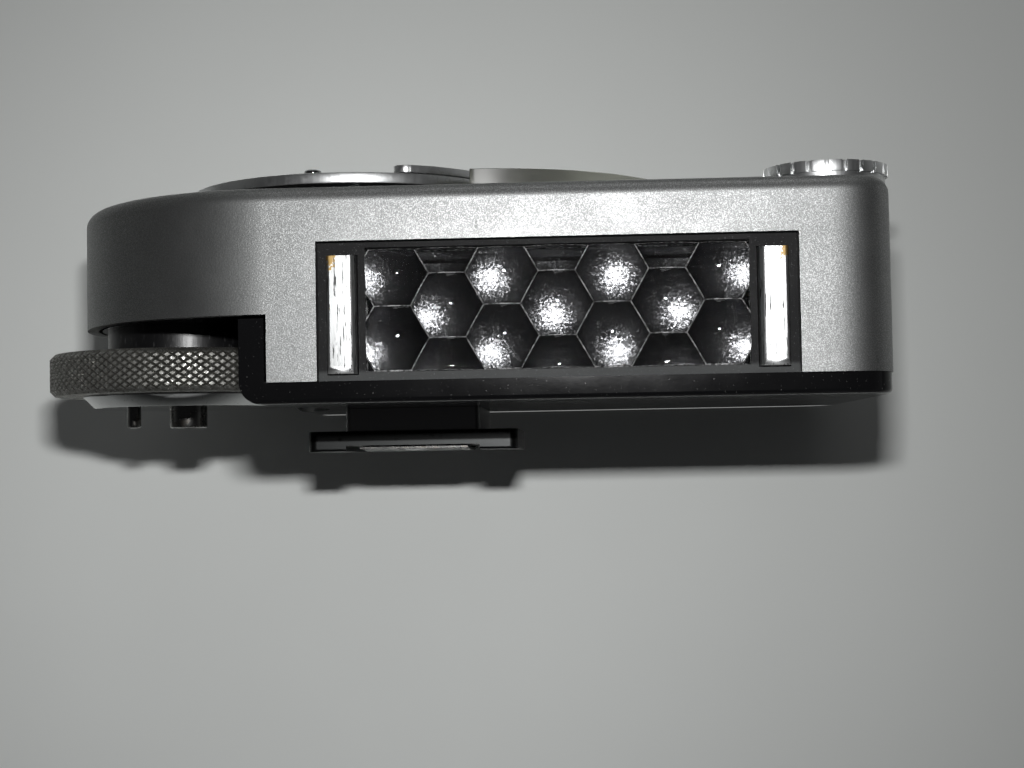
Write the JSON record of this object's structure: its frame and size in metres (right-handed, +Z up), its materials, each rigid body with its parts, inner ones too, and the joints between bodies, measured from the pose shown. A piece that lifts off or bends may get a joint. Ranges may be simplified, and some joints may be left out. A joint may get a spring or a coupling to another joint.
{
  "type": "shoe mount light meter",
  "caption": "Selenium light meter with a shoe foot, honeycomb cell window, geared knurled coupling wheel with a pin, top dial, needle window and range knob.",
  "frame": {"origin": "centre of the sole of the shoe foot, on the pad of its leaf spring", "axes": "+X to the right as seen from the front, along the housing; +Y from the front face to the back; +Z up to the dial"},
  "size_m": [0.0726, 0.0385, 0.0238],
  "materials": {
    "satin_chrome": "satin, fine blasted grain",
    "bright_chrome": "polished",
    "knurled_chrome": "knurled",
    "plain_steel": "turned",
    "black_moulding": "semi-gloss moulding",
    "lens_glass": "clear moulded",
    "clear_window": "clear, slightly yellowed",
    "cell_surface": "dark, slightly glossy",
    "gear_brass": "machined",
    "magnet_iron": "dull",
    "coil_copper": "varnished wire",
    "board_brown": "paper board",
    "resistor_body": "lacquered",
    "needle_paint": "matt paint",
    "scale_paint": "matt paint"
  },
  "bodies": {
    "case": {"case_shell": "satin_chrome", "base_cover": "black_moulding", "base_screw_1": "plain_steel", "base_screw_2": "plain_steel", "base_screw_3": "plain_steel", "shoe_foot": "bright_chrome", "shoe_spring": "plain_steel", "spring_rivet_1": "plain_steel", "spring_rivet_2": "plain_steel", "foot_screw_1": "plain_steel", "foot_screw_2": "plain_steel", "cell_bezel": "black_moulding", "lens_plate": "lens_glass", "selenium_cell": "cell_surface", "cell_holder": "black_moulding", "contact_bar_left": "bright_chrome", "contact_bar_right": "bright_chrome", "cell_strip_left": "gear_brass", "cell_strip_right": "gear_brass", "wheel_collar": "satin_chrome", "wheel_bush": "gear_brass", "lift_spring": "plain_steel", "dial_bush": "gear_brass", "index_plate": "bright_chrome", "needle_window": "clear_window", "switch_board": "board_brown", "switch_contact_1": "gear_brass", "switch_contact_2": "gear_brass", "shunt_resistor": "resistor_body", "movement_plate": "gear_brass", "plate_screw_1": "plain_steel", "plate_screw_2": "plain_steel", "magnet_ring": "magnet_iron", "iron_core": "magnet_iron", "top_bridge": "gear_brass", "upper_jewel_screw": "gear_brass", "lower_jewel_screw": "gear_brass", "scale_plate": "scale_paint"},
    "wheel_washer": {"thrust_washer": "plain_steel"},
    "wheel": {"coupling_wheel": "knurled_chrome", "coupling_disc": "bright_chrome", "coupling_pin": "plain_steel", "coupling_hub": "plain_steel", "wheel_shaft": "plain_steel", "wheel_gear": "gear_brass"},
    "speed_dial": {"dial_shaft": "plain_steel", "dial_gear": "gear_brass", "speed_disc": "satin_chrome", "dial_screw": "bright_chrome"},
    "film_ring": {"dial_ring": "satin_chrome", "dial_stud": "bright_chrome"},
    "knob": {"range_knob": "bright_chrome", "knob_shaft": "plain_steel", "range_wiper": "gear_brass"},
    "needle": {"moving_coil": "coil_copper", "needle_staff": "plain_steel", "upper_hairspring": "gear_brass", "lower_hairspring": "gear_brass", "needle": "needle_paint"}
  },
  "joints": [
    {"name": "wheel_turn", "type": "hinge", "parent": "case", "child": "wheel_washer", "pos_m": [-0.0199, -0.00902, 0.0105], "axis": [0, 0, 1], "range_deg": [-150, 150]},
    {"name": "wheel_lift", "type": "slide", "parent": "wheel_washer", "child": "wheel", "axis": [0, 0, 1], "range_m": [0, 0.0017], "stiffness_N_per_m": 300, "springref_m": -0.003, "deforming": ["lift_spring"]},
    {"name": "dial_turn", "type": "hinge", "parent": "case", "child": "speed_dial", "pos_m": [-0.00494, -0.00796, 0.0205], "axis": [0, 0, 1], "range_deg": [-124.4, 124.4]},
    {"name": "film_speed_set", "type": "hinge", "parent": "speed_dial", "child": "film_ring", "pos_m": [-0.00494, -0.00796, 0.022], "axis": [0, 0, 1], "range_deg": [-90, 90]},
    {"name": "range_turn", "type": "hinge", "parent": "case", "child": "knob", "pos_m": [0.0357, -0.0165, 0.0205], "axis": [0, 0, 1], "range_deg": [0, 90]},
    {"name": "needle_swing", "type": "hinge", "parent": "case", "child": "needle", "pos_m": [0.024, 0.001, 0.0138], "axis": [0, 0, 1], "range_deg": [0, 45], "stiffness_Nm_per_rad": 0.00002, "springref_deg": -5.73}
  ],
  "couplings": [
    {"joint": "dial_turn", "follows": "wheel_turn", "ratio": -0.82927}
  ]
}
